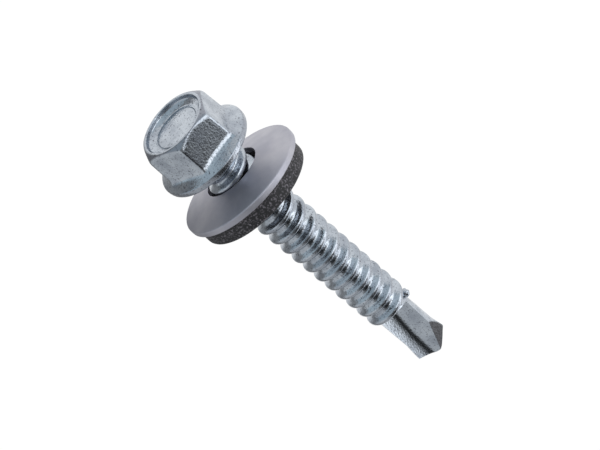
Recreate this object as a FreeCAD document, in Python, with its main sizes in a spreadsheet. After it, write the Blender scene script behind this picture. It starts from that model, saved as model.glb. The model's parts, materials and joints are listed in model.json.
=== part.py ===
import FreeCAD, Part
import math
import os
import Sketcher
from FreeCAD import Placement, Rotation, Vector

# Self-drilling roofing screw with a loose bonded sealing washer, in millimetres.
# Each piece is modelled about its own axis, with the head at the top, and is then
# laid down: the screw rests on the rim of its washer and on the last turn of its thread.

SIZES = {
    # hexagon head with its pressed flange
    "head_height": 4.9,           # underside of the flange to the top of the hexagon
    "head_across_flats": 7.9,     # at the foot of the hexagon
    "head_draft": 2.0,            # degrees, the hexagon narrows towards its top
    "head_corner_bevel": 0.23,
    "head_turn": 1.3,             # degrees, first corner of the hexagon from the top side
    "head_chamfer_diameter": 7.35,
    "head_chamfer_slope": 35.0,   # degrees from the top face
    "recess_diameter": 6.8,       # dished top of the head
    "recess_floor_diameter": 5.7,
    "recess_depth": 0.7,
    "flange_diameter": 10.56,
    "flange_rim": 0.65,           # thickness of the rim
    "flange_slope": 33.0,         # degrees, top of the flange rises to the hexagon
    "flange_edge_bevel": 0.15,
    # shank and thread
    "neck_diameter": 4.7,
    "neck_radius": 0.45,          # fillet under the flange
    "neck_length": 1.1,           # from the flange to the first sign of thread
    "root_diameter": 4.2,
    "thread_diameter": 5.37,
    "thread_pitch": 1.8,
    "thread_crest_width": 0.55,
    "thread_flank": 28.0,         # degrees, half of the thread angle
    "thread_end_depth": 29.2485,  # from the flange to the last crest
    "thread_end_turn": 165.0,     # degrees, place of that end round the shank
    "thread_lead_in": 1.3,        # length over which the first turn rises out of the neck
    "thread_sink": 0.27,          # the ridge is rooted this deep in the core
    "thread_run_out": 0.2,        # length over which the shank narrows to the drill point
    # drill point
    "point_diameter": 4.1,
    "lip_diameter": 4.56,         # across the flared cutting corners
    "lip_depth": 36.78,           # from the flange to the cutting corners
    "lip_flare_length": 2.3,
    "point_angle": 106.6,         # degrees, included angle of the tip
    "web_thickness": 0.7,         # steel left between the two flutes
    "flute_radius": 3.6,          # hollow of each flute
    "flute_turn": 5.0,            # degrees, middle of the upper flute from the top side
    "flute_length": 6.88,         # from the cutting corners back to the end of the flute
    "flute_run_out": 1.3,         # sloping stretch where a flute runs out under the thread
    "flat_length": 3.03,          # from the cutting corners back to the heel of the flat
    "flat_heel_turn": 72.0,       # degrees, place of that point round the shank
    "flat_lip_turn": 118.0,       # degrees, place of the cutting corner round the shank
    "flat_tip_offset": 0.4,       # of the flat from the axis at the tip
    "burr_radius": 0.45,          # lump of metal left beyond the end of the thread
    "burr_gap": 0.6,              # from the last crest to the middle of the lump
    "burr_reach": 1.99,           # centre of the lump from the axis
    "burr_turn": 108.0,           # degrees, place of the lump round the shank
    # bonded sealing washer
    "washer_diameter": 13.92,
    "washer_thickness": 0.7,
    "washer_hole_diameter": 6.26,
    "washer_dish": 14.5,          # degrees, the washer rises from its rim towards the head
    "seal_diameter": 12.88,
    "seal_thickness": 1.93,
    "seal_edge_bevel": 0.25,
    "seal_hole_diameter": 6.18,
    "washer_depth": 5.93,         # from the flange to the middle of the washer's rim
    "washer_lean": 9.0,           # degrees, the loose washer leans on the shank
}

doc = FreeCAD.newDocument("roofing_screw")
sheet = doc.addObject("Spreadsheet::Sheet", "sizes")
for row, (alias, value) in enumerate(SIZES.items(), start=1):
    sheet.set("A%d" % row, alias)
    sheet.set("B%d" % row, str(value))
    sheet.setAlias("B%d" % row, alias)
doc.recompute()

closeEnough = 1e-4   # millimetres, when an edge is looked for by its radius and height


def size(expression):
    """Value of a size, or of a formula of sizes written as for an expression."""
    return float(sheet.evalExpression(expression))


def bind(feature, **formulas):
    for name, formula in formulas.items():
        feature.setExpression(name, formula)


def newBody(name):
    return doc.addObject("PartDesign::Body", name)


def sketchOn(body, name, role):
    """An empty sketch on one of the body's own origin planes."""
    plane = [item for item in body.Origin.OriginFeatures if item.Role == role][0]
    sketch = body.newObject("Sketcher::SketchObject", name)
    sketch.AttachmentSupport = [(plane, "")]
    sketch.MapMode = "FlatFace"
    return sketch


def drawOutline(sketch, corners):
    """Closed outline of straight lines. Each corner is a pair of formulas, held by them."""
    spots = [Vector(size(x), size(y), 0) for x, y in corners]
    count = len(spots)
    for i in range(count):
        sketch.addGeometry(Part.LineSegment(spots[i], spots[(i + 1) % count]), False)
    for i in range(count):
        sketch.addConstraint(Sketcher.Constraint("Coincident", i, 2, (i + 1) % count, 1))
    for i, (x, y) in enumerate(corners):
        for kind, axis, formula in (("DistanceX", -2, x), ("DistanceY", -1, y)):
            if formula == "0":
                sketch.addConstraint(Sketcher.Constraint("PointOnObject", i, 1, axis))
            else:
                held = sketch.addConstraint(Sketcher.Constraint(kind, -1, 1, i, 1, size(formula)))
                sketch.setExpression("Constraints[%d]" % held, formula)


def revolve(body, kind, name, corners):
    """Revolution or Groove of an outline of (radius, height) corners about the Z axis."""
    sketch = sketchOn(body, name + "_outline", "XZ_Plane")
    drawOutline(sketch, corners)
    before = body.Shape.Volume if body.Tip else 0.0
    turned = body.newObject("PartDesign::" + kind, name)
    turned.Profile = sketch
    turned.ReferenceAxis = (sketch, ["V_Axis"])
    turned.Angle = 360
    doc.recompute()
    if kind == "Groove" and turned.Shape.Volume >= before:
        raise RuntimeError(name + " removed nothing")
    return turned


def breakEdges(body, name, extent, chosen):
    """Chamfer on the edges of the tip for which chosen(edge) is true."""
    tip = body.Tip
    edges = ["Edge%d" % (i + 1) for i, edge in enumerate(tip.Shape.Edges) if chosen(edge)]
    broken = body.newObject("PartDesign::Chamfer", name)
    broken.Base = (tip, edges)
    bind(broken, Size=extent)
    doc.recompute()


def circleAt(edge, radius, height):
    """Whether an edge is the circle of that radius about the Z axis at that height."""
    curve = edge.Curve
    return (isinstance(curve, Part.Circle) and abs(curve.Radius - radius) < closeEnough
            and abs(curve.Center.z - height) < closeEnough)


def makeHead():
    """Hexagon with draft, cone-chamfered top, dished recess and pressed flange."""
    body = newBody("head")
    sketch = sketchOn(body, "hexagon_outline", "XY_Plane")
    apex = "sizes.head_across_flats / 2 / cos(30 deg)"
    drawOutline(sketch, [("%s * cos(%d deg + sizes.head_turn * 1 deg)" % (apex, turn),
                          "%s * sin(%d deg + sizes.head_turn * 1 deg)" % (apex, turn))
                         for turn in range(0, 360, 60)])
    hexagon = body.newObject("PartDesign::Pad", "hexagon")
    hexagon.Profile = sketch
    bind(hexagon, Length="sizes.head_height", TaperAngle="-sizes.head_draft")
    doc.recompute()
    upright = size("sizes.head_height") / 2
    breakEdges(body, "hexagon_corners", "sizes.head_corner_bevel",
               lambda edge: abs(edge.Vertexes[0].Z - edge.Vertexes[-1].Z) > upright)
    rim = "sizes.flange_diameter / 2"
    slope = "tan(sizes.flange_slope * 1 deg)"
    revolve(body, "Revolution", "flange", [
        ("0", "0"), (rim, "0"), (rim, "sizes.flange_rim"),
        ("sizes.head_across_flats / 4", "sizes.flange_rim + (%s - sizes.head_across_flats / 4) * %s"
         % (rim, slope)), ("0", "sizes.head_height / 2")])
    breakEdges(body, "flange_edge", "sizes.flange_edge_bevel",
               lambda edge: circleAt(edge, size(rim), size("sizes.flange_rim")))
    top = "sizes.head_height"
    chamfer = "sizes.head_chamfer_diameter / 2"
    outside = "sizes.head_across_flats"
    revolve(body, "Groove", "head_chamfer", [
        (chamfer, top), (outside, top),
        (outside, "%s - (%s - %s) * tan(sizes.head_chamfer_slope * 1 deg)" % (top, outside, chamfer))])
    floor = "%s - sizes.recess_depth" % top
    revolve(body, "Groove", "recess", [
        ("0", top), ("sizes.recess_diameter / 2", top), ("sizes.recess_floor_diameter / 2", floor),
        ("0", floor)])
    return body


def makeShank():
    """Neck, threaded shank and the round body of the drill point, with its flared lips."""
    body = newBody("shank")
    neck = "sizes.neck_diameter / 2"
    root = "sizes.root_diameter / 2"
    point = "sizes.point_diameter / 2"
    lip = "sizes.lip_diameter / 2"
    tip = "-(sizes.lip_depth + %s / tan(sizes.point_angle / 2 * 1 deg))" % lip
    fullThread = "-(sizes.neck_length + sizes.thread_lead_in)"
    threadEnd = "-(sizes.thread_end_depth + sizes.thread_pitch / 4)"
    seated = "sizes.flange_rim / 2"
    revolve(body, "Revolution", "core", [
        ("0", seated), ("%s + sizes.neck_radius" % neck, seated), ("%s + sizes.neck_radius" % neck, "0"),
        (neck, "-sizes.neck_radius"), (neck, "-sizes.neck_length"), (root, fullThread), (root, threadEnd),
        (point, threadEnd + " - sizes.thread_run_out"),
        (point, "-(sizes.lip_depth - sizes.lip_flare_length)"),
        (lip, "-sizes.lip_depth"), ("0", tip)])
    addThread(body)
    trimThreadStart(body, neck)
    body.Placement = Placement(Vector(), Rotation(Vector(0, 0, 1), size("sizes.thread_end_turn")))
    return body


def addThread(body):
    """Right-handed ridge wound upwards from its blunt lower end, sunk a little into the core."""
    sketch = sketchOn(body, "thread_outline", "XZ_Plane")
    sink = "sizes.root_diameter / 2 - sizes.thread_sink"
    crest = "sizes.thread_diameter / 2"
    halfCrest = "sizes.thread_crest_width / 2"
    halfFoot = "(%s + (%s - (%s)) * tan(sizes.thread_flank * 1 deg))" % (halfCrest, crest, sink)
    middle = "-sizes.thread_end_depth"
    drawOutline(sketch, [
        (sink, "%s - %s" % (middle, halfFoot)), (crest, "%s - %s" % (middle, halfCrest)),
        (crest, "%s + %s" % (middle, halfCrest)), (sink, "%s + %s" % (middle, halfFoot))])
    before = body.Shape.Volume
    thread = body.newObject("PartDesign::AdditiveHelix", "thread")
    thread.Profile = sketch
    thread.ReferenceAxis = (sketch, ["V_Axis"])
    thread.Mode = 0
    bind(thread, Pitch="sizes.thread_pitch",
         Height="sizes.thread_end_depth - sizes.neck_radius - " + halfFoot)
    doc.recompute()
    if thread.Shape.Volume <= before:
        raise RuntimeError("the thread added nothing")


def trimThreadStart(body, neck):
    """Bared neck, and the cone by which the first turn rises out of it, as on a rolled thread."""
    outside = "sizes.thread_diameter / 2 + sizes.thread_pitch"
    top = "-sizes.neck_length"
    slope = "(sizes.thread_diameter / 2 - %s) / sizes.thread_lead_in" % neck
    revolve(body, "Groove", "thread_lead_in", [
        (neck, "-sizes.neck_radius"), (outside, "-sizes.neck_radius"),
        (outside, "%s - (%s - %s) / (%s)" % (top, outside, neck, slope)), (neck, top)])


def fluteCutter(name, turn):
    """Long round tool that presses one flute: a cylinder beside the axis, chamfered at its end."""
    rod = doc.addObject("Part::Cylinder", name + "_rod")
    bind(rod, Radius="sizes.flute_radius",
         Height="sizes.flute_length + sizes.lip_diameter")
    doc.recompute()
    cutter = doc.addObject("Part::Chamfer", name)
    cutter.Base = rod
    top = [i + 1 for i, edge in enumerate(rod.Shape.Edges)
           if circleAt(edge, size("sizes.flute_radius"), rod.Shape.BoundBox.ZMax)]
    slope = size("sizes.flute_run_out")
    cutter.Edges = [(i, slope, slope) for i in top]
    away = size("sizes.web_thickness / 2 + sizes.flute_radius")
    angle = math.radians(size("sizes.flute_turn") + turn)
    low = -size("sizes.lip_depth + sizes.lip_diameter")
    cutter.Placement = Placement(Vector(away * math.cos(angle), away * math.sin(angle), low), Rotation())
    return cutter


def roundAbout(radius, degrees, height):
    angle = math.radians(degrees)
    return Vector(radius * math.cos(angle), radius * math.sin(angle), height)


def flatCutter(name, turn):
    """Block whose face is the trimmed flat between the edge of a flute and its cutting corner."""
    tip = -size("sizes.lip_depth + sizes.lip_diameter / 2 / tan(sizes.point_angle / 2 * 1 deg)")
    heelTurn = size("sizes.flat_heel_turn") + turn
    heel = roundAbout(size("sizes.point_diameter / 2"), heelTurn, -size("sizes.lip_depth - sizes.flat_length"))
    lip = roundAbout(size("sizes.lip_diameter / 2"), size("sizes.flat_lip_turn") + turn,
                     -size("sizes.lip_depth"))
    end = roundAbout(size("sizes.flat_tip_offset"), heelTurn, tip)
    normal = (lip - heel).cross(end - heel).normalize()
    if normal.dot(heel) < 0:
        normal = normal.negative()
    block = doc.addObject("Part::Box", name)
    side = "3 * sizes.lip_diameter"
    bind(block, Length=side, Width=side, Height="sizes.lip_diameter")
    half = size(side) / 2
    turned = Rotation(Vector(0, 0, 1), normal)
    block.Placement = Placement(lip + turned.multVec(Vector(-half, -half, 0)), turned)
    return block


def makeBurr():
    burr = doc.addObject("Part::Sphere", "burr")
    bind(burr, Radius="sizes.burr_radius")
    spot = roundAbout(size("sizes.burr_reach"), size("sizes.burr_turn"), -size("sizes.thread_end_depth + sizes.burr_gap"))
    burr.Placement = Placement(spot, Rotation())
    return burr


def makeScrew():
    """One cold-forged piece: head, flange, threaded shank and fluted drill point."""
    blank = doc.addObject("Part::MultiFuse", "blank")
    blank.Shapes = [makeHead(), makeShank(), makeBurr()]
    cutters = doc.addObject("Part::MultiFuse", "point_tools")
    cutters.Shapes = [tool for side, turn in (("upper", 0.0), ("lower", 180.0))
                      for tool in (fluteCutter(side + "_flute", turn), flatCutter(side + "_flat", turn))]
    screw = doc.addObject("Part::Cut", "screw")
    screw.Base = blank
    screw.Tool = cutters
    screw.Label = "screw"
    return screw


def makeRing(name, outer, hole, thickness, bottom):
    """Dished ring about the Z axis, which rises from the bottom of its rim to its hole."""
    body = newBody(name)
    top = "%s + %s" % (bottom, thickness)
    rise = "(%s - %s) / 2 * tan(sizes.washer_dish * 1 deg)" % (outer, hole)
    revolve(body, "Revolution", name + "_ring", [
        (hole + " / 2", "%s + %s" % (bottom, rise)), (outer + " / 2", bottom), (outer + " / 2", top),
        (hole + " / 2", "%s + %s" % (top, rise))])
    body.Label = name
    return body


def makeWasher():
    """Steel washer and the rubber seal bonded to its underside, about the middle of their rims."""
    half = "(sizes.washer_thickness + sizes.seal_thickness) / 2"
    inset = "(sizes.washer_diameter - sizes.seal_diameter) / 2 * tan(sizes.washer_dish * 1 deg)"
    steel = makeRing("metal_washer", "sizes.washer_diameter", "sizes.washer_hole_diameter",
                     "sizes.washer_thickness", half + " - sizes.washer_thickness")
    rubber = makeRing("rubber_seal", "sizes.seal_diameter", "sizes.seal_hole_diameter",
                      "(sizes.seal_thickness + %s)" % inset, "-" + half)
    breakEdges(rubber, "seal_edge", "sizes.seal_edge_bevel",
               lambda edge: circleAt(edge, size("sizes.seal_diameter / 2"), size("-" + half)))
    return steel, rubber


def restAngle():
    """Slope of the lying screw, from the washer's rim to the last turn of the thread.

    In the plane through the axis, the lowest point of the steel rim and the underside of the
    last crest both touch the surface that the screw lies on.
    """
    lean = math.radians(size("sizes.washer_lean"))
    face = size("(sizes.washer_thickness + sizes.seal_thickness) / 2 - sizes.washer_thickness")
    rim = size("sizes.washer_diameter / 2")
    rimReach = rim * math.cos(lean) + face * math.sin(lean)
    rimDepth = size("sizes.washer_depth") + rim * math.sin(lean) - face * math.cos(lean)
    pitch = size("sizes.thread_pitch")
    under = (size("sizes.thread_end_turn") - 180.0) % 360.0
    crestDepth = size("sizes.thread_end_depth") - pitch * (1.0 - under / 360.0)
    crestEdge = crestDepth + size("sizes.thread_crest_width / 2")
    crestReach = size("sizes.thread_diameter / 2")
    return math.degrees(math.atan2(rimReach - crestReach, crestEdge - rimDepth))


def layDown(screw, steel, rubber):
    """Lay the assembly on its resting points and centre it over the origin."""
    lying = Placement(Vector(), Rotation(Vector(0, 1, 0), restAngle() - 90.0))
    onShank = Placement(Vector(0, 0, -size("sizes.washer_depth")),
                        Rotation(Vector(0, 1, 0), -size("sizes.washer_lean")))
    places = [(screw, lying), (steel, lying.multiply(onShank)), (rubber, lying.multiply(onShank))]
    for piece, place in places:
        piece.Placement = place
    doc.recompute()
    room = FreeCAD.BoundBox()
    for piece, place in places:
        room.add(piece.Shape.optimalBoundingBox(False, False))
    shift = Placement(Vector(-room.Center.x, -room.Center.y, -room.ZMin), Rotation())
    for piece, place in places:
        piece.Placement = shift.multiply(place)
    doc.recompute()


def check(pieces):
    for item in doc.Objects:
        if "Invalid" in item.State or "Error" in item.State:
            raise RuntimeError("%s failed: %s" % (item.Name, item.State))
    for piece in pieces:
        if piece.Shape.isNull() or not piece.Shape.isValid() or len(piece.Shape.Solids) != 1:
            raise RuntimeError("%s is not one valid solid" % piece.Label)


pieces = [makeScrew(), *makeWasher()]
doc.recompute()
layDown(*pieces)
check(pieces)
os.makedirs("parts", exist_ok=True)
for piece in pieces:
    piece.Shape.exportStep("parts/%s.step" % piece.Label)
    box = piece.Shape.optimalBoundingBox(False, False)
    print("%s: volume %.2f mm3, box %.2f x %.2f x %.2f mm, lowest %.3f" % (
        piece.Label, piece.Shape.Volume, box.XLength, box.YLength, box.ZLength, box.ZMin))
seat = pieces[0].Placement
print("rest angle %.2f degrees, flange seat at (%.3f, %.3f, %.3f)" % (restAngle(), *seat.Base))
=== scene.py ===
import bpy
import json
import math
import numpy as np
from mathutils import Matrix, Vector


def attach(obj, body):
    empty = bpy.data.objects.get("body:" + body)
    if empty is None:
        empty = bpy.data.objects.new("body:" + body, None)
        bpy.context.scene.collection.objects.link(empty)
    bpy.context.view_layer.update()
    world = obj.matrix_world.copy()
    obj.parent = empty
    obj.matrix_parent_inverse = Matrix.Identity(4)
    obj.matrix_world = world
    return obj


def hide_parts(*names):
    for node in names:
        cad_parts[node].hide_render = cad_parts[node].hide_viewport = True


# A self-drilling roofing screw lying on a pale floor, with its loose bonded washer.
# Every piece is worked out in millimetres about its own axis, head upwards, with angles in
# degrees round that axis from the side that faces up when the screw lies down. Depths on the
# screw run down from the underside of its flange, and heights run up from there.

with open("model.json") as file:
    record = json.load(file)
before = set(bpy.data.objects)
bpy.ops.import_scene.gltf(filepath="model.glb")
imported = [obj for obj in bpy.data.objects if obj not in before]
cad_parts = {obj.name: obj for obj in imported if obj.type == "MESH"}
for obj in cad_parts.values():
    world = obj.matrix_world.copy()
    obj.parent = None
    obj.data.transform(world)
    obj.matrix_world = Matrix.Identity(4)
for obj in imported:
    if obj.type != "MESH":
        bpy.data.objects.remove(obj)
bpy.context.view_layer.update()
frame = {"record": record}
metresPerMillimetre = 0.001
perMetre = 1.0 / metresPerMillimetre   # divided by a size in millimetres, a pattern's scale
mounts = {mount["name"]: mount for mount in frame["record"]["mounts"]}
print("stage: frame loaded")


def placeOf(mountName, heightOfMount, towardsHead):
    # where a piece's own axes lie: the mount gives the axis, and the side axis stays level
    mount = mounts[mountName]
    axis = towardsHead * np.array(mount["axis"]) / np.linalg.norm(mount["axis"])
    side = np.array([0.0, 1.0, 0.0])
    upper = np.cross(side, axis)
    turn = np.column_stack([upper, side, axis])
    return {"turn": turn, "at": np.array(mount["pos_m"]) - axis * heightOfMount * metresPerMillimetre}


def toWorld(points, place):
    # from millimetres on a piece's own axes to metres in the frame
    return np.asarray(points) @ place["turn"].T * metresPerMillimetre + place["at"]


def cylindrical(radius, degrees, height):
    # radius times cosine, radius times sine, and height, for arrays that broadcast together
    turn = np.radians(degrees)
    radius, turn, height = np.broadcast_arrays(radius, turn, height)
    return np.stack([radius * np.cos(turn), radius * np.sin(turn), height], axis=-1)


def softMax(a, b, rounding):
    # half of the sum and of the root of the squared difference plus the squared rounding,
    # which is the larger value with a rounded change-over
    return 0.5 * (a + b + np.sqrt((a - b) ** 2 + rounding ** 2))


def softMin(a, b, rounding):
    # the smaller value, in the same way
    return -softMax(-a, -b, rounding)


def smoothStep(t):
    # three times t squared less twice t cubed: 0 up to t = 0 and 1 from t = 1 on
    t = np.clip(t, 0.0, 1.0)
    return t * t * (3.0 - 2.0 * t)


def roundedProfile(corners, roundings, steps):
    # corners is (corner, ..., 2). Each corner becomes a quadratic curve from a start through the
    # corner's pull to an end, both one rounding away from it along its two sides, or at most
    # this share of the way to the next corner
    mostOfSide = 0.45
    tiny = 1e-9
    before = np.roll(corners, 1, axis=0) - corners
    after = np.roll(corners, -1, axis=0) - corners
    lengthBefore = np.linalg.norm(before, axis=-1, keepdims=True)
    lengthAfter = np.linalg.norm(after, axis=-1, keepdims=True)
    room = np.array(roundings).reshape((-1,) + (1,) * (corners.ndim - 1))
    start = corners + before / np.maximum(lengthBefore, tiny) * np.minimum(room, mostOfSide * lengthBefore)
    end = corners + after / np.maximum(lengthAfter, tiny) * np.minimum(room, mostOfSide * lengthAfter)
    t = np.linspace(0.0, 1.0, steps).reshape((1, -1) + (1,) * (corners.ndim - 1))
    curve = (1 - t) ** 2 * start[:, None] + 2 * t * (1 - t) * corners[:, None] + t ** 2 * end[:, None]
    return curve.reshape((-1,) + corners.shape[1:])


def signedVolume(points, quads):
    # sum of the tetrahedra from the origin to both halves of each quad, above 0 for a closed
    # surface whose faces point outwards
    a, b, c, d = (points[quads[:, k]] for k in range(4))
    return (np.einsum("ij,ij->i", a, np.cross(b, c)) + np.einsum("ij,ij->i", a, np.cross(c, d))).sum() / 6


def matchWinding(points, quads, addedPoints, addedQuads):
    # the added closed surface turned so that its faces wind as those of the first one
    first = signedVolume(points, quads) > 0
    second = signedVolume(addedPoints - addedPoints.mean(axis=0), addedQuads - len(points)) > 0
    return addedQuads if first == second else addedQuads[:, ::-1]


def ringQuads(rows, columns, firstIndex=0, closedRows=False):
    # quads of a grid whose columns run round an axis
    i, j = np.meshgrid(np.arange(rows if closedRows else rows - 1), np.arange(columns), indexing="ij")
    below = (i + 1) % rows
    beside = (j + 1) % columns
    return firstIndex + np.stack([i * columns + j, i * columns + beside,
                                  below * columns + beside, below * columns + j], axis=-1).reshape(-1, 4)


def bridge(upper, lower):
    # quads between two closed rings of vertex numbers
    return np.stack([upper, np.roll(upper, -1), np.roll(lower, -1), lower], axis=-1)


def addPiece(name, points, quads, place, material, body, nodes, sharpAngle, marks=None):
    # one closed mesh object, at the origin, with its place in its vertices. A quad that names
    # one vertex twice becomes a triangle
    world = toWorld(points, place)
    if signedVolume(world, quads) < 0:
        quads = quads[:, ::-1]
    mesh = bpy.data.meshes.new(name)
    faces = [list(dict.fromkeys(quad)) for quad in quads.tolist()]
    mesh.from_pydata(world.tolist(), [], [face for face in faces if len(face) > 2])
    mesh.polygons.foreach_set("use_smooth", np.ones(len(mesh.polygons), dtype=bool))
    mesh.set_sharp_from_angle(angle=math.radians(sharpAngle))
    mesh.materials.append(material)
    for mark, values in (marks or {}).items():
        mesh.attributes.new(mark, "FLOAT", "POINT").data.foreach_set("value", values.astype(np.float32))
    mesh.update()
    piece = bpy.data.objects.new(name, mesh)
    bpy.context.scene.collection.objects.link(piece)
    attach(piece, body)
    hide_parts(*nodes)
    print("stage:", name, "has", len(mesh.polygons), "faces")
    return piece


# Materials

def linearColour(hexColour):
    # from an sRGB hex value to linear red, green and blue, with full alpha
    channels = np.array([int(hexColour[i:i + 2], 16) for i in (1, 3, 5)]) / 255.0
    linear = np.where(channels <= 0.04045, channels / 12.92, ((channels + 0.055) / 1.055) ** 2.4)
    return (*linear.tolist(), 1.0)


def toneStops(span, first, second):
    # stops of a ramp that goes from one hex colour to another across the span
    return [(span[0], linearColour(first)), (span[1], linearColour(second))]


def newMaterial(name):
    material = bpy.data.materials.new(name)
    material.use_nodes = True
    material.node_tree.nodes.clear()
    return material, material.node_tree


def addNode(tree, kind, settings=None, inputs=None, stops=()):
    # one node with its settings; an input is a value, or (node, output) for a link, and a
    # colour ramp has stops of (position, linear colour)
    node = tree.nodes.new(kind)
    for key, value in (settings or {}).items():
        setattr(node, key, value)
    for key, value in (inputs or {}).items():
        if isinstance(value, tuple) and len(value) == 2 and hasattr(value[0], "outputs"):
            tree.links.new(value[0].outputs[value[1]], node.inputs[key])
        else:
            node.inputs[key].default_value = value
    for _ in stops[2:]:
        node.color_ramp.elements.new(0.5)
    for element, (position, colour) in zip(node.color_ramp.elements if stops else (), stops):
        element.position = position
        element.color = colour
    return node


platingLook = {
    "light": "#BEC5CD",        # bright zinc, bluish
    "dull": "#A2A9B3",         # hazed patches
    "speck": "#5A5B63",        # pits and handling marks
    "pinched": ("#2E2F33", "#5A5B60"),   # steel sheared by the point's dies, thinly plated
    "crest": "#989CA5",        # thread crests, chamfer and rim, dulled by dies and handling
    "patchSize": 1.6,          # mm
    "patchSpan": (0.32, 0.62),   # of the noise, from dull to light
    "patchDetail": 4.0,
    "speckSize": 0.20,         # mm, drawn coarser than the crystals so that it shows
    "speckSpan": (0.25, 0.42),   # of the noise, from a full speck to none
    "speckDetail": 2.0,
    "striation": (1.5, 0.09),  # mm, length and spacing of the die marks on the pinched flats
    "striationSpan": (0.35, 0.70),   # of the noise, between the two pinched colours
    "striationDetail": 2.0,
    "ripple": 0.8,             # bump strength
    "rippleHeight": 0.03,      # mm
    "roughness": (0.13, 0.24),   # of light and of dull zinc
    "roughnessSpan": (0.3, 0.7),
    "crestRoughness": 0.12,    # added where it is dulled
    "pinchedRoughness": 0.25,  # added on the pinched flats
}


def zincPlatedSteel():
    # bright zinc electroplated over cold-forged steel: mirror-like on a faintly rippled
    # skin, with dull patches, small dark pits, matt thread crests and dark pinched flats
    look = platingLook
    material, tree = newMaterial("zinc_plated_forged_steel")
    place = addNode(tree, "ShaderNodeTexCoord")
    crest = addNode(tree, "ShaderNodeAttribute", {"attribute_name": "crest"})
    pinched = addNode(tree, "ShaderNodeAttribute", {"attribute_name": "pinched"})
    patches = addNode(tree, "ShaderNodeTexNoise", inputs={
        "Vector": (place, "Object"), "Scale": perMetre / look["patchSize"], "Detail": look["patchDetail"]})
    specks = addNode(tree, "ShaderNodeTexNoise", inputs={
        "Vector": (place, "Object"), "Scale": perMetre / look["speckSize"], "Detail": look["speckDetail"]})
    length, spacing = look["striation"]
    drawn = addNode(tree, "ShaderNodeMapping", inputs={
        "Vector": (place, "Object"),
        "Scale": (perMetre / length, perMetre / spacing, perMetre / (2 * spacing))})
    striations = addNode(tree, "ShaderNodeTexNoise", inputs={
        "Vector": (drawn, "Vector"), "Scale": 1.0, "Detail": look["striationDetail"]})
    tone = addNode(tree, "ShaderNodeValToRGB", inputs={"Fac": (patches, "Fac")},
                   stops=toneStops(look["patchSpan"], look["dull"], look["light"]))
    dulled = addNode(tree, "ShaderNodeMix", {"data_type": "RGBA"}, {
        "Factor": (crest, "Fac"), "A": (tone, "Color"), "B": linearColour(look["crest"])})
    squeezed = addNode(tree, "ShaderNodeValToRGB", inputs={"Fac": (striations, "Fac")},
                       stops=toneStops(look["striationSpan"], *look["pinched"]))
    worked = addNode(tree, "ShaderNodeMix", {"data_type": "RGBA"}, {
        "Factor": (pinched, "Fac"), "A": (dulled, "Result"), "B": (squeezed, "Color")})
    pits = addNode(tree, "ShaderNodeValToRGB", inputs={"Fac": (specks, "Fac")},
                   stops=toneStops(look["speckSpan"], "#FFFFFF", "#000000"))
    colour = addNode(tree, "ShaderNodeMix", {"data_type": "RGBA"}, {
        "Factor": (pits, "Color"), "A": (worked, "Result"), "B": linearColour(look["speck"])})
    rough = addNode(tree, "ShaderNodeMapRange", inputs={
        "Value": (patches, "Fac"),
        "From Min": look["roughnessSpan"][0], "From Max": look["roughnessSpan"][1],
        "To Min": look["roughness"][1], "To Max": look["roughness"][0]})
    rougher = addNode(tree, "ShaderNodeMath", {"operation": "MULTIPLY_ADD"}, {
        0: (crest, "Fac"), 1: look["crestRoughness"], 2: (rough, "Result")})
    roughest = addNode(tree, "ShaderNodeMath", {"operation": "MULTIPLY_ADD"}, {
        0: (pinched, "Fac"), 1: look["pinchedRoughness"], 2: (rougher, "Value")})
    bump = addNode(tree, "ShaderNodeBump", inputs={
        "Height": (specks, "Fac"), "Strength": look["ripple"],
        "Distance": look["rippleHeight"] * metresPerMillimetre})
    shader = addNode(tree, "ShaderNodeBsdfPrincipled", inputs={
        "Metallic": 1.0, "Base Color": (colour, "Result"), "Roughness": (roughest, "Value"),
        "Normal": (bump, "Normal")})
    addNode(tree, "ShaderNodeOutputMaterial", inputs={"Surface": (shader, "BSDF")})
    return material


washerLook = {
    "light": "#C4C3CA",
    "dull": "#B2B2BC",
    "patchSize": 2.5,          # mm
    "patchSpan": (0.35, 0.65),
    "patchDetail": 5.0,
    "grainSize": 0.22,         # mm, drawn coarser than the tumbling marks so that it shows
    "grainDetail": 3.0,
    "roughness": 0.52,
    "ripple": 0.25,            # bump strength
    "rippleHeight": 0.02,      # mm
}


def satinWasherSteel():
    # stamped and tumbled sheet steel: an even satin grey with a fine grain
    look = washerLook
    material, tree = newMaterial("satin_stamped_sheet_steel")
    place = addNode(tree, "ShaderNodeTexCoord")
    patches = addNode(tree, "ShaderNodeTexNoise", inputs={
        "Vector": (place, "Object"), "Scale": perMetre / look["patchSize"], "Detail": look["patchDetail"]})
    grain = addNode(tree, "ShaderNodeTexNoise", inputs={
        "Vector": (place, "Object"), "Scale": perMetre / look["grainSize"], "Detail": look["grainDetail"]})
    tone = addNode(tree, "ShaderNodeValToRGB", inputs={"Fac": (patches, "Fac")},
                   stops=toneStops(look["patchSpan"], look["dull"], look["light"]))
    bump = addNode(tree, "ShaderNodeBump", inputs={
        "Height": (grain, "Fac"), "Strength": look["ripple"],
        "Distance": look["rippleHeight"] * metresPerMillimetre})
    shader = addNode(tree, "ShaderNodeBsdfPrincipled", inputs={
        "Metallic": 1.0, "Base Color": (tone, "Color"), "Roughness": look["roughness"],
        "Normal": (bump, "Normal")})
    addNode(tree, "ShaderNodeOutputMaterial", inputs={"Surface": (shader, "BSDF")})
    return material


sealLook = {
    "black": "#1D1D20",
    "dust": "#807B82",
    "dustSpan": (0.50, 0.72),  # of the noise, from black to dust on the pebbles' tops
    "grainSize": 0.2,          # mm, the pebbles of the cut wall
    "grainDetail": 3.0,
    "roughness": 0.62,
    "ripple": 0.6,             # bump strength
    "rippleHeight": 0.04,      # mm
}


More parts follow.
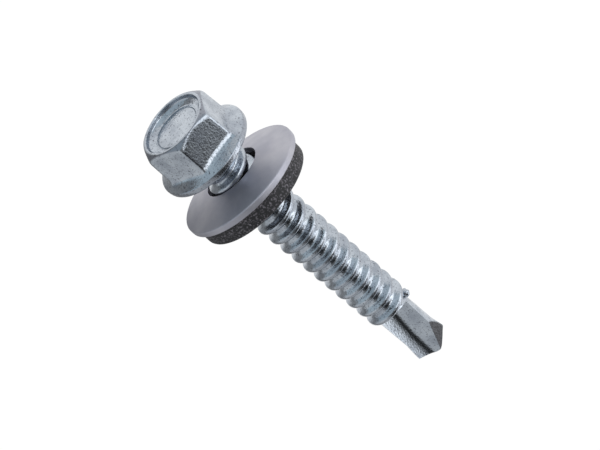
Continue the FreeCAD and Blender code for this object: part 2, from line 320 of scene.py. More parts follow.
def vulcanisedRubber():
    # black EPDM vulcanised to the washer: matt, with a pebbled cut wall and pale dust
    look = sealLook
    material, tree = newMaterial("vulcanised_epdm_rubber")
    place = addNode(tree, "ShaderNodeTexCoord")
    grain = addNode(tree, "ShaderNodeTexNoise", inputs={
        "Vector": (place, "Object"), "Scale": perMetre / look["grainSize"], "Detail": look["grainDetail"]})
    tone = addNode(tree, "ShaderNodeValToRGB", inputs={"Fac": (grain, "Fac")},
                   stops=toneStops(look["dustSpan"], look["black"], look["dust"]))
    bump = addNode(tree, "ShaderNodeBump", inputs={
        "Height": (grain, "Fac"), "Strength": look["ripple"],
        "Distance": look["rippleHeight"] * metresPerMillimetre})
    shader = addNode(tree, "ShaderNodeBsdfPrincipled", inputs={
        "Base Color": (tone, "Color"), "Roughness": look["roughness"], "Normal": (bump, "Normal")})
    addNode(tree, "ShaderNodeOutputMaterial", inputs={"Surface": (shader, "BSDF")})
    return material


# The screw

head = {
    "height": 4.9,
    "acrossFlats": 7.9,
    "draft": 2.0,              # degrees, the facets lean in towards the top
    "cornerRadius": 0.4,
    "turn": 1.3,               # degrees, first corner
    "chamferRadius": 3.675,    # outer edge of the flat ring round the recess
    "chamferSlope": 35.0,      # degrees
    "recessRadius": 3.4,
    "recessFloorRadius": 2.85,
    "recessDepth": 0.7,
    "recessWall": 0.45,        # upright part of the recess's wall, above its sloping part
    "recessDraft": 0.06,       # how far the upright part draws in on its way down
    "ringWidth": 0.5,          # of the pressed ring in the recess's floor
    "ringDepth": 0.08,
    "flangeRadius": 5.28,
    "flangeRim": 0.65,         # height of the rim
    "flangeSlope": 33.0,       # degrees
    "footStraight": 0.85,      # 0 leaves the facets' feet on the flange's cone, 1 makes them level
    "rimLean": 0.05,           # how far the rim draws in towards its underside
    "rimUpright": 0.55,        # share of the rim's height below which it draws in
    # how much of both sides each rounded edge takes
    "roundings": {"ring": 0.04, "floor": 0.12, "wall": 0.16, "brim": 0.08, "crown": 0.12,
                  "facet": 0.5, "rim": 0.16, "underside": 0.2, "fillet": 0.3},
    "chamferDulled": 1.0,      # by dies and handling, from 0 to 1
    "rimDulled": 0.6,
}
shank = {
    "neckRadius": 2.35,
    "neckFillet": 0.45,
    "neckLength": 1.1,
    "rootRadius": 2.0,
    "crestRadius": 2.685,
    "pitch": 1.8,
    "crestWidth": 0.47,
    "flank": 28.0,             # degrees
    "leadIn": 1.3,             # length over which the thread grows out of the neck
    "endDepth": 29.2485,       # last crest
    "endTurn": 165.0,          # degrees
    "runOut": 0.25,            # length of crest line over which the ridge dies away at its end
    "rounding": 0.26,          # of the ridge's edges, as a share of its height
    "dulledFrom": 0.985,       # share of the crest's radius at which its dulling starts
    "dulledOver": 0.013,       # share over which it grows full
}
point = {
    "radius": 2.05,
    "lipRadius": 2.28,
    "lipDepth": 36.779,
    "flareLength": 2.3,        # over which the land widens to the lips
    "tipAngle": 106.6,         # degrees, included
    "web": 0.7,                # steel left between the two flutes
    "fluteTurn": 5.0,          # degrees
    "fluteWalls": (34.5, 22.0),   # degrees, slopes of the heel's wall and of the lip's wall
    "fluteBottom": 0.70,       # rounding between the walls
    "fluteWander": ((28.8, 0.10), (33.7, -0.48), (37.0, -0.66)),   # depth, bottom from the axis
    "fluteStarts": (28.75, 29.9),   # depths, of the flute that faces up and of the other one
    "fluteEnd": 1.0,           # length of the rounded run-out
    "fluteClear": 0.1,         # how far above the steel a flute's floor starts
    "start": 29.9,             # depth
    "swellLead": 0.6,          # how far above the start the thread's core begins to widen
    "swellLength": 0.5,        # over which it widens
    "heelDepth": 33.75,
    "heelTurn": 72.0,          # degrees
    "lipTurn": 118.0,          # degrees
    "tipOffset": 0.4,          # from the axis to the edge where a trimmed flat ends at the tip
    "flatStart": 32.75,        # depth above which nothing is trimmed
}
screwGrid = {
    "cornerColumns": 9,        # across each rounded corner of the hexagon
    "flatColumns": 23,         # between two corners
    "edgeRows": 6,             # round each edge of the head's profile
    "chamferRows": (33, 38),   # of the head, dulled: from the crown's edge to the facets' top
    "rimRows": (50, 62),       # of the head, dulled: from the rim's upper edge to its lower one
    "seamLead": 2.0,           # degrees from the first column to the thread's end
    "crestRows": (0.5, 0.85),  # shares of half the crest's width
    "flankRows": 5,
    "flankShift": 0.02,        # how much further from the crest the flank's rows stand
    "footRow": 0.12,           # a last row this far beyond the flank's foot
    "leastStep": 0.001,        # of a pitch, rows closer than this become one
    "wholeTurns": 15,          # of winding rows, between the wedge that opens and the one that closes
    "changeOver": 0.6,         # of the closing wedge, over which the columns become the point's
    "windingEnd": 0.04,        # how far below the point's start the winding rows end
    "pointStart": 0.06,        # how far below it the point's rows start
    "heelLead": 0.3,           # how far above the heels the point's rows draw closer
    "pointRows": (16, 9, 30, 16),   # in the run-out, along the lands, past the heels, on the tip
    "landColumns": 30,
    "edgePair": 0.15,          # degrees from a flute's edge to the columns on both sides of it
}


def cornerReach(flat):
    # from the axis to the middle of a corner's round, flat being half the hexagon's width
    return (flat - head["cornerRadius"]) / math.cos(math.radians(30))


def cornerArc(reach):
    # radians from the middle of a rounded corner to where the flat begins
    radius = head["cornerRadius"]
    return np.arctan2(radius / 2, reach + radius * math.cos(math.radians(30)))


def columnTurns():
    # the columns' angles, falling from just under the thread's end, so that they wind with it.
    # Each sixth of the turn has some on the rounded corner and the rest on the flat
    arc = math.degrees(cornerArc(cornerReach(head["acrossFlats"] / 2)))
    corner = np.linspace(-arc, arc, screwGrid["cornerColumns"])
    flat = np.linspace(arc, 60.0 - arc, screwGrid["flatColumns"] + 2)[1:-1]
    turns = np.concatenate([head["turn"] + 60.0 * k + part for k in range(6) for part in (corner, flat)])
    start = shank["endTurn"] - screwGrid["seamLead"]
    return np.sort(start - np.mod(start - turns, 360.0))[::-1]


def hexagonRadius(turns, flat):
    # distance from the axis to a hexagon with rounded corners: on a flat, half the width over
    # the cosine of the turn from its middle, and on a corner, where the ray leaves its round
    fromCorner = np.mod(turns - head["turn"] + 30.0, 60.0) - 30.0
    reach = cornerReach(flat)
    u = np.radians(np.abs(fromCorner))
    side = flat / np.cos(math.radians(30) - u)
    halfChord = np.sqrt(np.maximum(head["cornerRadius"] ** 2 - (reach * np.sin(u)) ** 2, 0.0))
    corner = reach * np.cos(u) + halfChord
    return np.where(u < cornerArc(reach), corner, side)


def headRows(turns):
    # rows from the middle of the recess to the neck: a profile of corners for every column,
    # whose hexagon wall starts on the chamfer's cone and ends on the flange's cone
    top = head["height"]
    floor = top - head["recessDepth"]
    sunk = floor - head["ringDepth"]
    slope = math.tan(math.radians(head["chamferSlope"]))
    rise = math.tan(math.radians(head["flangeSlope"]))
    draft = math.tan(math.radians(head["draft"]))
    foot = hexagonRadius(turns, head["acrossFlats"] / 2)
    crown = hexagonRadius(turns, head["acrossFlats"] / 2 - top * draft)
    lean = (foot - crown) / top            # how much the wall leans in for each millimetre up
    chamferHeight = (top - (foot - head["chamferRadius"]) * slope) / (1.0 - lean * slope)
    chamferReach = foot - lean * chamferHeight
    cone = head["flangeRim"] + (head["flangeRadius"] - foot) * rise
    footHeight = cone + (cone.min() - cone) * head["footStraight"]
    footReach = foot - lean * footHeight
    inner = head["recessFloorRadius"] - head["ringWidth"]
    edges = head["roundings"]
    corners = [
        (inner, floor, edges["ring"]),
        (inner + head["ringDepth"], sunk, edges["ring"]),
        (head["recessFloorRadius"] - head["ringDepth"], sunk, edges["floor"]),
        (head["recessRadius"] - head["recessDraft"], top - head["recessWall"], edges["wall"]),
        (head["recessRadius"], top, edges["brim"]),
        (head["chamferRadius"], top, edges["crown"]),
        (chamferReach, chamferHeight, edges["facet"]),
        (footReach, footHeight, edges["facet"]),
        (head["flangeRadius"], head["flangeRim"], edges["rim"]),
        (head["flangeRadius"], head["flangeRim"] * head["rimUpright"], edges["underside"]),
        (head["flangeRadius"] - head["rimLean"], 0.0, edges["underside"]),
        (shank["neckRadius"] + shank["neckFillet"], 0.0, edges["fillet"]),
        (shank["neckRadius"], -shank["neckFillet"], edges["fillet"]),
        # two further corners close the loop, so that the first and last ones keep their sides
        (shank["neckRadius"], -shank["neckLength"], 0.0),
        (0.0, floor, 0.0),
    ]
    level = np.zeros_like(turns)
    outline = np.array([[radius + level, height + level] for radius, height, _ in corners])
    roundings = [rounding for _, _, rounding in corners]
    rounded = roundedProfile(outline.transpose(0, 2, 1), roundings, screwGrid["edgeRows"])
    return rounded[:-2 * screwGrid["edgeRows"]]


def flankRun():
    # how far along the axis a flank of the thread runs from its edge to its foot
    return (shank["crestRadius"] - shank["rootRadius"]) * math.tan(math.radians(shank["flank"]))


def threadPhases():
    # rows of one pitch, as shares of it, closest together at the edges of the crest
    edge = shank["crestWidth"] / 2
    foot = edge + flankRun()
    crest = edge * np.array(screwGrid["crestRows"])
    flank = np.linspace(edge, foot, screwGrid["flankRows"]) + screwGrid["flankShift"]
    half = np.concatenate([crest, flank, [foot + screwGrid["footRow"]]])
    rows = np.concatenate([[0.0], half, [shank["pitch"] / 2], shank["pitch"] - half[::-1]])
    return rows / shank["pitch"]


def crestHeight(turns):
    # height of the crest line in each column, for the turn of thread that holds its end: it
    # rises by one pitch in each turn
    past = np.mod(turns - shank["endTurn"], 360.0)
    return -shank["endDepth"] + past / 360.0 * shank["pitch"]


def ridge(turns, height):
    # 0 on the root and 1 on the crest of the thread: straight flanks from the distance to the
    # nearest crest line, rounded at their edges, and dying away at the thread's end
    base = crestHeight(turns)
    number = np.maximum(np.round((height - base) / shank["pitch"]), 0.0)
    away = np.abs(height - base - number * shank["pitch"])
    lift = (shank["crestWidth"] / 2 + flankRun() - away) / flankRun()
    lift = softMin(softMax(lift, 0.0, shank["rounding"]), 1.0, shank["rounding"])
    pastEnd = np.mod(turns - shank["endTurn"], 360.0) / 360.0 * 2 * math.pi * shank["crestRadius"]
    dying = np.where(number > 0.5, 1.0, smoothStep(pastEnd / shank["runOut"]))
    return lift * dying


def shankRadius(turns, height):
    # neck, cone into the root, and the ridge let through a cone that opens out of the neck
    below = -height - shank["neckLength"]
    share = smoothStep(below / shank["leadIn"])
    core = shank["neckRadius"] + (shank["rootRadius"] - shank["neckRadius"]) * share
    swell = smoothStep((-height - point["start"] + point["swellLead"]) / point["swellLength"])
    core = core + (point["radius"] - shank["rootRadius"]) * swell
    thread = core + (shank["crestRadius"] - core) * ridge(turns, height)
    opening = shank["neckRadius"] + (shank["crestRadius"] - shank["neckRadius"]) * below / shank["leadIn"]
    return np.maximum(core, np.minimum(thread, np.maximum(opening, shank["neckRadius"])))


def fluteFloor(across, depth, flute):
    # height of a flute's floor above the middle of the web: across the flute it is a hyperbola
    # that leans between the two walls' slopes; at the flute's start it lies above the steel
    left, right = (math.tan(math.radians(wall)) for wall in point["fluteWalls"])
    depths, middles = np.array(point["fluteWander"]).T
    opened = smoothStep((depth - point["fluteStarts"][flute]) / point["fluteEnd"])
    deepest = point["web"] / 2
    bottom = deepest + (point["radius"] - deepest + point["fluteClear"]) * (1.0 - opened) ** 2
    away = across - np.interp(depth, depths, middles)
    bend = np.sqrt(away ** 2 + point["fluteBottom"] ** 2) - point["fluteBottom"]
    return bottom + 0.5 * (right - left) * away + 0.5 * (right + left) * bend


beyondSteel = 3.0              # a reach outside the screw
noLimit = 10.0                 # a reach that stands for no cut at all


def fluteCut(turns, depth, flute):
    # how far a ray from the axis runs in the steel before it leaves through a flute, found by
    # halving; nothing is cut above the flute's start
    halvings = 24
    alpha = np.radians(turns - point["fluteTurn"] - 180.0 * flute)
    low = np.zeros(np.broadcast(alpha, depth).shape)
    high = np.full_like(low, beyondSteel)
    for _ in range(halvings):
        reach = (low + high) / 2
        free = reach * np.cos(alpha) > fluteFloor(reach * np.sin(alpha), depth, flute)
        low, high = np.where(free, low, reach), np.where(free, reach, high)
    return np.where(depth > point["fluteStarts"][flute], high, noLimit)


def tipDepth():
    # where the tip's cone, which goes through the lips, meets the axis
    return point["lipDepth"] + point["lipRadius"] / math.tan(math.radians(point["tipAngle"] / 2))


def flatReach(turns, height, side):
    # how far a ray from the axis runs before the trimmed flat, the plane through heel, lip and
    # tip: the plane's distance over the part of its normal that lies along the ray
    level = 1e-6                   # a smaller part means that the ray runs along the plane
    heel = cylindrical(point["radius"], point["heelTurn"] + side, -point["heelDepth"])
    lip = cylindrical(point["lipRadius"], point["lipTurn"] + side, -point["lipDepth"])
    tip = cylindrical(point["tipOffset"], point["heelTurn"] + side, -tipDepth())
    normal = np.cross(lip - heel, tip - heel)
    normal = normal * np.sign(normal @ (heel * np.array([1.0, 1.0, 0.0])))
    across = normal[0] * np.cos(np.radians(turns)) + normal[1] * np.sin(np.radians(turns))
    reach = (normal @ heel - normal[2] * height) / np.where(np.abs(across) > level, across, level)
    faces = (across > level) & (-height > point["flatStart"])
    return np.where(faces, np.maximum(reach, 0.0), noLimit)


def roundReach(depth):
    # radius of the land with its flared lips, or of the tip's cone where that is smaller
    flare = np.clip((depth - point["lipDepth"] + point["flareLength"]) / point["flareLength"], 0.0, 1.0)
    land = point["radius"] + (point["lipRadius"] - point["radius"]) * flare
    cone = np.maximum(tipDepth() - depth, 0.0) * math.tan(math.radians(point["tipAngle"] / 2))
    return np.minimum(land, cone)


def fluteEdge(depth, toward):
    # degrees from a flute's middle to its edge on the round body, found by halving between 20
    # and 100 degrees
    halvings = 20
    radius = roundReach(depth)
    near = np.full(depth.shape, 20.0)
    far = np.full(depth.shape, 100.0)
    for _ in range(halvings):
        trial = (near + far) / 2
        turn = np.radians(trial)
        cut = radius * np.cos(turn) > fluteFloor(toward * radius * np.sin(turn), depth, 0)
        near, far = np.where(cut, trial, near), np.where(cut, far, trial)
    return near


def pointDepths():
    # depths of the point's rows, closest together in the run-out and from the heels on
    inRunOut, onLands, pastHeels, onTip = screwGrid["pointRows"]
    runOutEnd = point["start"] + point["fluteEnd"]
    closer = point["heelDepth"] - screwGrid["heelLead"]
    return np.concatenate([
        point["start"] + np.linspace(screwGrid["pointStart"], point["fluteEnd"], inRunOut),
        np.linspace(runOutEnd, closer, onLands)[1:],
        np.linspace(closer, point["lipDepth"], pastHeels)[1:],
        np.linspace(point["lipDepth"], tipDepth(), onTip)[1:-1]])


def pointRows(depth, count, first):
    # angle and reach of every column in every row, and which of them lie on the trimmed flats.
    # Columns are even across each flute and round each land, in pairs on both sides of an edge
    edge = screwGrid["edgePair"]
    fluteColumns = count // 2 - screwGrid["landColumns"]
    radius = roundReach(depth)[:, None]
    low = fluteEdge(depth, 1.0)[:, None]
    high = 180.0 - fluteEdge(depth, -1.0)[:, None]
    land = low + edge + (high - low - 2 * edge) * np.linspace(0.0, 1.0, screwGrid["landColumns"])
    left = -radius * np.sin(np.radians(180.0 - high - edge))
    right = radius * np.sin(np.radians(low - edge))
    across = left + (right - left) * np.linspace(0.0, 1.0, fluteColumns)
    turns, reach = [], []
    for flute in (0, 1):
        up = np.minimum(fluteFloor(across, depth[:, None], flute), np.sqrt(radius ** 2 - across ** 2))
        turns += [np.degrees(np.arctan2(across, up)) + 180.0 * flute, land + 180.0 * flute]
        reach += [np.hypot(across, up), np.broadcast_to(radius, land.shape)]
    turns = np.concatenate(turns, axis=1) + point["fluteTurn"]
    reach = np.concatenate(reach, axis=1)
    wrapped = first - np.mod(first - turns[0], 360.0)
    order = np.argsort(-wrapped)
    turns = (turns + wrapped - turns[0])[:, order]
    reach = reach[:, order]
    height = -np.broadcast_to(depth[:, None], turns.shape)
    flats = np.minimum(flatReach(turns, height, 0.0), flatReach(turns, height, 180.0))
    return turns, np.minimum(reach, flats), height, flats < reach


def windingRows(turns):
    # heights of the rows that wind with the thread, how many of them there are in a pitch, and
    # how far each has changed over to the point's columns. A column's rows lie lower than the
    # first column's by its share of the turn times the pitch: a wedge of rows opens below the
    # neck, whole turns follow, and another wedge closes above the drill point
    pitch = shank["pitch"]
    wholeTurns = screwGrid["wholeTurns"]
    share = (turns[0] - turns) / 360.0           # 0 to nearly 1 round the turn
    bottom = -(point["start"] + screwGrid["windingEnd"])
    top = bottom + (wholeTurns + 1) * pitch
    shift = np.mod(crestHeight(turns[0]) - top, pitch) / pitch   # puts the phases on the crest line
    offsets = np.sort(np.mod(1.0 - threadPhases() - shift, 1.0))
    offsets = np.concatenate([[0.0], offsets[offsets > screwGrid["leastStep"]]])
    steps = np.concatenate([k + offsets for k in range(wholeTurns + 2)] + [[wholeTurns + 2.0]])
    opening = np.minimum(steps, 1.0)[:, None] * share
    middle = np.clip(steps - 1.0, 0.0, wholeTurns)[:, None]
    closing = np.maximum(steps - 1.0 - wholeTurns, 0.0)[:, None] * (1.0 - share)
    changed = smoothStep((steps - 1.0 - wholeTurns) / screwGrid["changeOver"])[:, None]
    return top - pitch * (opening + middle + closing), len(offsets), changed


def windingGrid(start, rows, count, perPitch):
    # vertex numbers of the winding rows, with the first column repeated after the last one. A
    # row comes down by one pitch on its way round, so it meets the first column perPitch rows
    # further on; rows that are collapsed in the opening wedge share one vertex
    grid = start + np.arange(rows)[:, None] * count + np.arange(count + 1)
    grid[:perPitch + 1, 0] = start + perPitch * count
    grid[:, count] = start + np.minimum(np.arange(rows) + perPitch, rows - 1) * count
    return grid


def screwSurface():
    # one closed grid: the middle of the head, head rows, winding rows, point rows and the tip
    turns = columnTurns()
    count = len(turns)
    headPart = headRows(turns)                   # (row, column, 2)
    headPoints = cylindrical(headPart[..., 0], turns, headPart[..., 1])
    height, perPitch, changed = windingRows(turns)
    pointAngle, pointReach, pointHeight, trimmed = pointRows(pointDepths(), count, turns[0])
    angle = turns * (1.0 - changed) + pointAngle[:1] * changed
    shankReach = np.minimum(shankRadius(angle, height), fluteCut(angle, -height, 0))
    shankPoints = cylindrical(shankReach, angle, height)
    pointPoints = cylindrical(pointReach, pointAngle, pointHeight)
    crown = np.array([[0.0, 0.0, head["height"] - head["recessDepth"]]])
    tip = np.array([[0.0, 0.0, -tipDepth()]])
    points = np.concatenate([crown, headPoints.reshape(-1, 3), shankPoints.reshape(-1, 3),
                             pointPoints.reshape(-1, 3), tip])

    headStart = len(crown)
    shankStart = headStart + len(headPoints) * count
    pointStart = shankStart + len(height) * count
    last = len(points) - 1
    columns = np.arange(count)
    grid = windingGrid(shankStart, len(height), count, perPitch)
    quads = [
        ringQuads(len(headPoints), count, headStart),
        np.stack([grid[:-1, :-1], grid[:-1, 1:], grid[1:, 1:], grid[1:, :-1]], axis=-1).reshape(-1, 4),
        ringQuads(len(pointPoints), count, pointStart),
        bridge(np.zeros(count, int), headStart + columns),
        bridge(shankStart - count + columns, grid[0, :-1]),
        bridge(pointStart - count + columns, pointStart + columns),
        bridge(last - count + columns, np.full(count, last)),
    ]

    dulledHead = np.zeros(headPoints.shape[:2])
    dulledHead[slice(*screwGrid["chamferRows"])] = head["chamferDulled"]
    dulledHead[slice(*screwGrid["rimRows"])] = head["rimDulled"]
    dulledShank = smoothStep((shankReach / shank["crestRadius"] - shank["dulledFrom"]) / shank["dulledOver"])
    marks = {name: np.zeros(len(points)) for name in ("crest", "pinched")}
    marks["crest"][headStart:pointStart] = np.concatenate([dulledHead.ravel(), dulledShank.ravel()])
    marks["pinched"][pointStart:last] = trimmed.ravel()
    return points, np.concatenate(quads), marks


burr = {
    "reach": 2.25,             # middle of the lump from the axis
    "turn": 97.0,              # degrees
    "depth": 29.2,
    "radius": 0.5,
    "roughness": 0.2,          # share of the radius
    "waves": (1.0, 0.6, 0.5),  # heights of the three waves against each other
    "grid": (17, 32),          # rows and columns
    "poleGap": 4.0,            # degrees from a pole to the nearest row
}


def burrSurface(firstIndex):
    # a lump left beyond the end of the thread: a sphere whose radius wanders with three waves,
    # two with three and five crests round it, which twist on their way down, and one that
    # winds down it; all are nought at the poles
    rows, columns = burr["grid"]
    tilt = np.radians(np.linspace(burr["poleGap"], 180.0 - burr["poleGap"], rows))[:, None]
    turn = np.linspace(0.0, 2 * math.pi, columns, endpoint=False)[None, :]
    three, five, down = burr["waves"]
    waves = three * np.sin(3 * turn + 2.0 * np.cos(2 * tilt)) * np.sin(tilt)
    waves = waves + five * np.sin(5 * turn - 4 * tilt) * np.sin(tilt) ** 2
    waves = waves + down * np.cos(4 * tilt + turn) * np.sin(tilt)
    radius = burr["radius"] * (1.0 + burr["roughness"] * waves / 2)
    shell = np.stack([radius * np.sin(tilt) * np.cos(turn), radius * np.sin(tilt) * np.sin(turn),
                      radius * np.cos(tilt) * np.ones_like(turn)], axis=-1)
    middle = cylindrical(burr["reach"], burr["turn"], -burr["depth"])
    poles = middle + np.array([[0, 0, burr["radius"]], [0, 0, -burr["radius"]]])
    points = np.concatenate([(shell + middle).reshape(-1, 3), poles])
    around = np.arange(columns)
    top = np.full(columns, firstIndex + rows * columns)
    bottomRow = firstIndex + (rows - 1) * columns + around
    caps = [bridge(firstIndex + around, top)[:, ::-1], bridge(bottomRow, top + 1)]
    return points, np.concatenate([ringQuads(rows, columns, firstIndex)] + caps)


screwPlace = placeOf("head_hexagon", head["height"], 1.0)
screwPoints, screwQuads, screwMarks = screwSurface()
burrPoints, burrQuads = burrSurface(len(screwPoints))
screwQuads = np.concatenate([screwQuads, matchWinding(screwPoints, screwQuads, burrPoints, burrQuads)])
screwPoints = np.concatenate([screwPoints, burrPoints])
screwMarks = {name: np.append(values, np.zeros(len(burrPoints))) for name, values in screwMarks.items()}
addPiece("forged_screw", screwPoints, screwQuads, screwPlace, zincPlatedSteel(), "screw", ["screw"],
         sharpAngle=40.0, marks=screwMarks)


# The washer and its seal

washer = {
    "radius": 6.958,
    "holeRadius": 3.13,
    "thickness": 0.7,
    "dish": 14.5,              # degrees, rising from the rim to the hole
    "roundings": (0.10, 0.16, 0.16, 0.08),   # hole top, rim top, rim bottom, hole bottom
}
seal = {
    "radius": 6.44,
    "holeRadius": 3.09,
    "thickness": 1.93,         # from the steel's rim down to the seal's lower edge
    "roundings": (0.05, 0.05, 0.4, 0.15),
}
ringGrid = {"columns": 180, "edgeRows": 6}


def dishedRing(ring, rimLow, rimHigh):
    # a rounded outline of (radius, height), sloping up to the hole, carried once round the axis
    slope = math.tan(math.radians(washer["dish"]))
    rise = (ring["radius"] - ring["holeRadius"]) * slope
    corners = np.array([[ring["holeRadius"], rimHigh + rise], [ring["radius"], rimHigh],
                        [ring["radius"], rimLow], [ring["holeRadius"], rimLow + rise]])
    profile = roundedProfile(corners, ring["roundings"], ringGrid["edgeRows"])
    turns = np.linspace(0.0, 360.0, ringGrid["columns"], endpoint=False)
    points = cylindrical(profile[:, :1], turns[None, :], profile[:, 1:])
    return points.reshape(-1, 3), ringQuads(len(profile), ringGrid["columns"], closedRows=True)


half = (washer["thickness"] + seal["thickness"]) / 2
rimUnderside = half - washer["thickness"]
washerPlace = placeOf("seal_face", -half, -1.0)
steelPoints, steelQuads = dishedRing(washer, rimUnderside, half)
addPiece("washer_plate", steelPoints, steelQuads, washerPlace, satinWasherSteel(), "washer",
         ["metal_washer"], sharpAngle=50.0)
inset = (washer["radius"] - seal["radius"]) * math.tan(math.radians(washer["dish"]))
rubberPoints, rubberQuads = dishedRing(seal, -half, rimUnderside + inset)
addPiece("rubber_ring", rubberPoints, rubberQuads, washerPlace, vulcanisedRubber(), "washer",
         ["rubber_seal"], sharpAngle=60.0)


# Floor, light and camera

studio = {
    "floorSize": 1.2,          # metres
    "floorColour": "#F4F4F4",
    "white": 1.08,             # of the background, as seen straight or mirrored
    "seenWhite": 0.9,          # share of that white in what shows of the floor
    "mirroredWhite": (0.26, 1.0),   # its level in the metal: low on the -Y side, which is a painted shadow, and full on the other
    "paintedShadowSide": (-0.014, -0.005),   # metres along Y, where the painted shadow's level goes over to the full one
    "paintedFalloffReach": (0.05, 0.12),   # metres from the object, over which the mirrored white fades: a painted fall-off of light
    "farWhite": 0.6,           # what is left of it beyond that painted fall-off
    "skyStrength": 1.7,
    "skyTint": (0.965, 0.985, 1.0),   # red, green and blue of a level
    # sky levels by degrees from overhead towards +Y, on the point's side and on the head's side
    "pointSky": [(-90, 0.39), (-60, 0.36), (-24, 0.38), (-12, 0.24), (-3, 0.04), (12, 0.015), (34, 0.015),
                 (43, 0.07), (50, 0.22), (58, 0.42), (66, 0.75), (75, 1.25), (90, 1.4)],
    "headSky": [(-90, 0.40), (-60, 0.40), (-36, 0.46), (-24, 0.36), (-15, 0.12), (8, 0.08), (26, 0.30),
                (35, 1.15), (60, 1.05), (90, 0.85)],
    "skySplit": (0.14, 0.40),  # X of a direction, from the head's side to the point's side
    "beyondHead": (-0.58, -0.36),   # X of a direction, from the card beyond the head to the sky
    "cardColour": "#A5B2B9",   # a pale bluish card that shows in the recess and on the flange
    "cardLevel": 0.78,
    "cardShare": 0.9,          # how far the card covers the sky behind it
}


def skyStops(levels):
    # stops of a ramp over the half turn from -Y through overhead to +Y
    tint = studio["skyTint"]
    return [(degrees / 180.0 + 0.5, (*(level * channel for channel in tint), 1.0))
            for degrees, level in levels]


def makeFloor():
    # a matt board whose white shows in the metal too; in what the metal mirrors it carries a painted shadow,
    # darker on the -Y side, and a painted fall-off of light away from the object
    half = studio["floorSize"] / 2
    corners = [(-half, -half, 0), (half, -half, 0), (half, half, 0), (-half, half, 0)]
    mesh = bpy.data.meshes.new("floor")
    mesh.from_pydata(corners, [], [(0, 1, 2, 3)])
    material, tree = newMaterial("matt_white_board")
    rays = addNode(tree, "ShaderNodeLightPath")
    place = addNode(tree, "ShaderNodeTexCoord")
    parts = addNode(tree, "ShaderNodeSeparateXYZ", inputs={"Vector": (place, "Object")})
    away = addNode(tree, "ShaderNodeVectorMath", {"operation": "LENGTH"}, {0: (place, "Object")})
    # painted fall-off of light: the white mirrored in the metal dims away from the object
    near = addNode(tree, "ShaderNodeMapRange", {"interpolation_type": "SMOOTHSTEP"}, {
        "Value": (away, "Value"), "From Min": studio["paintedFalloffReach"][0],
        "From Max": studio["paintedFalloffReach"][1], "To Min": 1.0, "To Max": studio["farWhite"]})
    # painted shadow: the white mirrored in the metal is darker on the -Y side
    paintedShadow = addNode(tree, "ShaderNodeMapRange", {"interpolation_type": "SMOOTHSTEP"}, {
        "Value": (parts, "Y"), "From Min": studio["paintedShadowSide"][0], "From Max": studio["paintedShadowSide"][1],
        "To Min": studio["mirroredWhite"][0], "To Max": studio["mirroredWhite"][1]})
    # the mirrored white with its painted shadow and its painted fall-off of light
    paintedMirrorLevel = addNode(tree, "ShaderNodeMath", {"operation": "MULTIPLY"}, {
        0: (near, "Result"), 1: (paintedShadow, "Result")})
    mirrored = addNode(tree, "ShaderNodeMath", {"operation": "MAXIMUM"}, {
        0: (rays, "Is Glossy Ray"), 1: (rays, "Is Transmission Ray")})
    showing = addNode(tree, "ShaderNodeMath", {"operation": "MAXIMUM"}, {
        0: (rays, "Is Camera Ray"), 1: (mirrored, "Value")})
    amount = addNode(tree, "ShaderNodeMath", {"operation": "MULTIPLY"}, {
        0: (showing, "Value"), 1: studio["seenWhite"]})
    level = addNode(tree, "ShaderNodeMath", {"operation": "MAXIMUM"}, {
        0: (rays, "Is Camera Ray"), 1: (paintedMirrorLevel, "Value")})
    strength = addNode(tree, "ShaderNodeMath", {"operation": "MULTIPLY"}, {
        0: (level, "Value"), 1: studio["white"]})
    board = addNode(tree, "ShaderNodeBsdfDiffuse", inputs={"Color": linearColour(studio["floorColour"])})
    white = addNode(tree, "ShaderNodeEmission", inputs={
        "Color": linearColour("#FFFFFF"), "Strength": (strength, "Value")})
    mixed = addNode(tree, "ShaderNodeMixShader", inputs={
        0: (amount, "Value"), 1: (board, "BSDF"), 2: (white, "Emission")})
    addNode(tree, "ShaderNodeOutputMaterial", inputs={"Surface": (mixed, "Shader")})
    mesh.materials.append(material)
    floor = bpy.data.objects.new("floor", mesh)
    bpy.context.scene.collection.objects.link(floor)


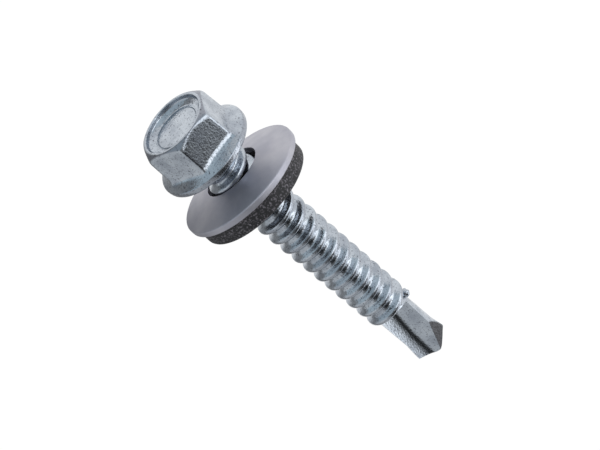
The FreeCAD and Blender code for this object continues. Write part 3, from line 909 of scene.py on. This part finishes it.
def makeSky():
    # what the plating mirrors: a big bright softbox on the +Y side, a dim one on the -Y side,
    # the dark of the room over the drill point, and a pale card beyond the head
    world = bpy.data.worlds.new("studio")
    bpy.context.scene.world = world
    world.use_nodes = True
    tree = world.node_tree
    tree.nodes.clear()
    place = addNode(tree, "ShaderNodeTexCoord")
    parts = addNode(tree, "ShaderNodeSeparateXYZ", inputs={"Vector": (place, "Generated")})
    lean = addNode(tree, "ShaderNodeMath", {"operation": "ARCTAN2"}, {0: (parts, "Y"), 1: (parts, "Z")})
    share = addNode(tree, "ShaderNodeMapRange", inputs={
        "Value": (lean, "Value"), "From Min": -math.pi / 2, "From Max": math.pi / 2,
        "To Min": 0.0, "To Max": 1.0})
    overHead = addNode(tree, "ShaderNodeValToRGB", inputs={"Fac": (share, "Result")},
                       stops=skyStops(studio["headSky"]))
    overPoint = addNode(tree, "ShaderNodeValToRGB", inputs={"Fac": (share, "Result")},
                        stops=skyStops(studio["pointSky"]))
    ahead = addNode(tree, "ShaderNodeMapRange", {"interpolation_type": "SMOOTHSTEP"}, {
        "Value": (parts, "X"), "From Min": studio["skySplit"][0], "From Max": studio["skySplit"][1],
        "To Min": 0.0, "To Max": 1.0})
    sky = addNode(tree, "ShaderNodeMix", {"data_type": "RGBA"}, {
        "Factor": (ahead, "Result"), "A": (overHead, "Color"), "B": (overPoint, "Color")})
    beyond = addNode(tree, "ShaderNodeMapRange", {"interpolation_type": "SMOOTHSTEP"}, {
        "Value": (parts, "X"), "From Min": studio["beyondHead"][0], "From Max": studio["beyondHead"][1],
        "To Min": studio["cardShare"], "To Max": 0.0})
    red, green, blue, alpha = linearColour(studio["cardColour"])
    card = (*(studio["cardLevel"] * channel for channel in (red, green, blue)), alpha)
    carded = addNode(tree, "ShaderNodeMix", {"data_type": "RGBA"}, {
        "Factor": (beyond, "Result"), "A": (sky, "Result"), "B": card})
    mirrored = addNode(tree, "ShaderNodeBackground", inputs={
        "Color": (carded, "Result"), "Strength": studio["skyStrength"]})
    white = addNode(tree, "ShaderNodeBackground", inputs={"Color": linearColour("#FFFFFF"), "Strength": 1.0})
    rays = addNode(tree, "ShaderNodeLightPath")
    mixed = addNode(tree, "ShaderNodeMixShader", inputs={
        0: (rays, "Is Camera Ray"), 1: (mirrored, "Background"), 2: (white, "Background")})
    addNode(tree, "ShaderNodeOutputWorld", inputs={"Surface": (mixed, "Shader")})


photoCamera = {
    # on the screw's own axes, millimetres: found from the outline of the screw in the photo
    "place": (119.72, 46.72, 71.66),
    "forward": (-0.7773, -0.2999, -0.5532),
    "up": (-0.6083, 0.5836, 0.5383),
    "lens": 91.30,             # mm
    "sensor": 36.0,            # mm
    "clip": (0.005, 10.0),     # metres
}


def makeCamera():
    data = bpy.data.cameras.new("photo_camera")
    data.sensor_width = photoCamera["sensor"]
    data.sensor_fit = "HORIZONTAL"
    data.lens = photoCamera["lens"]
    data.clip_start, data.clip_end = photoCamera["clip"]
    camera = bpy.data.objects.new("photo_camera", data)
    forward = Vector(screwPlace["turn"] @ np.array(photoCamera["forward"])).normalized()
    up = Vector(screwPlace["turn"] @ np.array(photoCamera["up"]))
    right = forward.cross(up).normalized()
    up = right.cross(forward)
    turn = Matrix((right, up, -forward)).transposed().to_4x4()
    camera.matrix_world = Matrix.Translation(Vector(toWorld(photoCamera["place"], screwPlace))) @ turn
    bpy.context.scene.collection.objects.link(camera)
    bpy.context.scene.camera = camera


makeFloor()
makeSky()
makeCamera()
bpy.context.scene.view_settings.view_transform = "Standard"
print("stage: floor, light and camera")
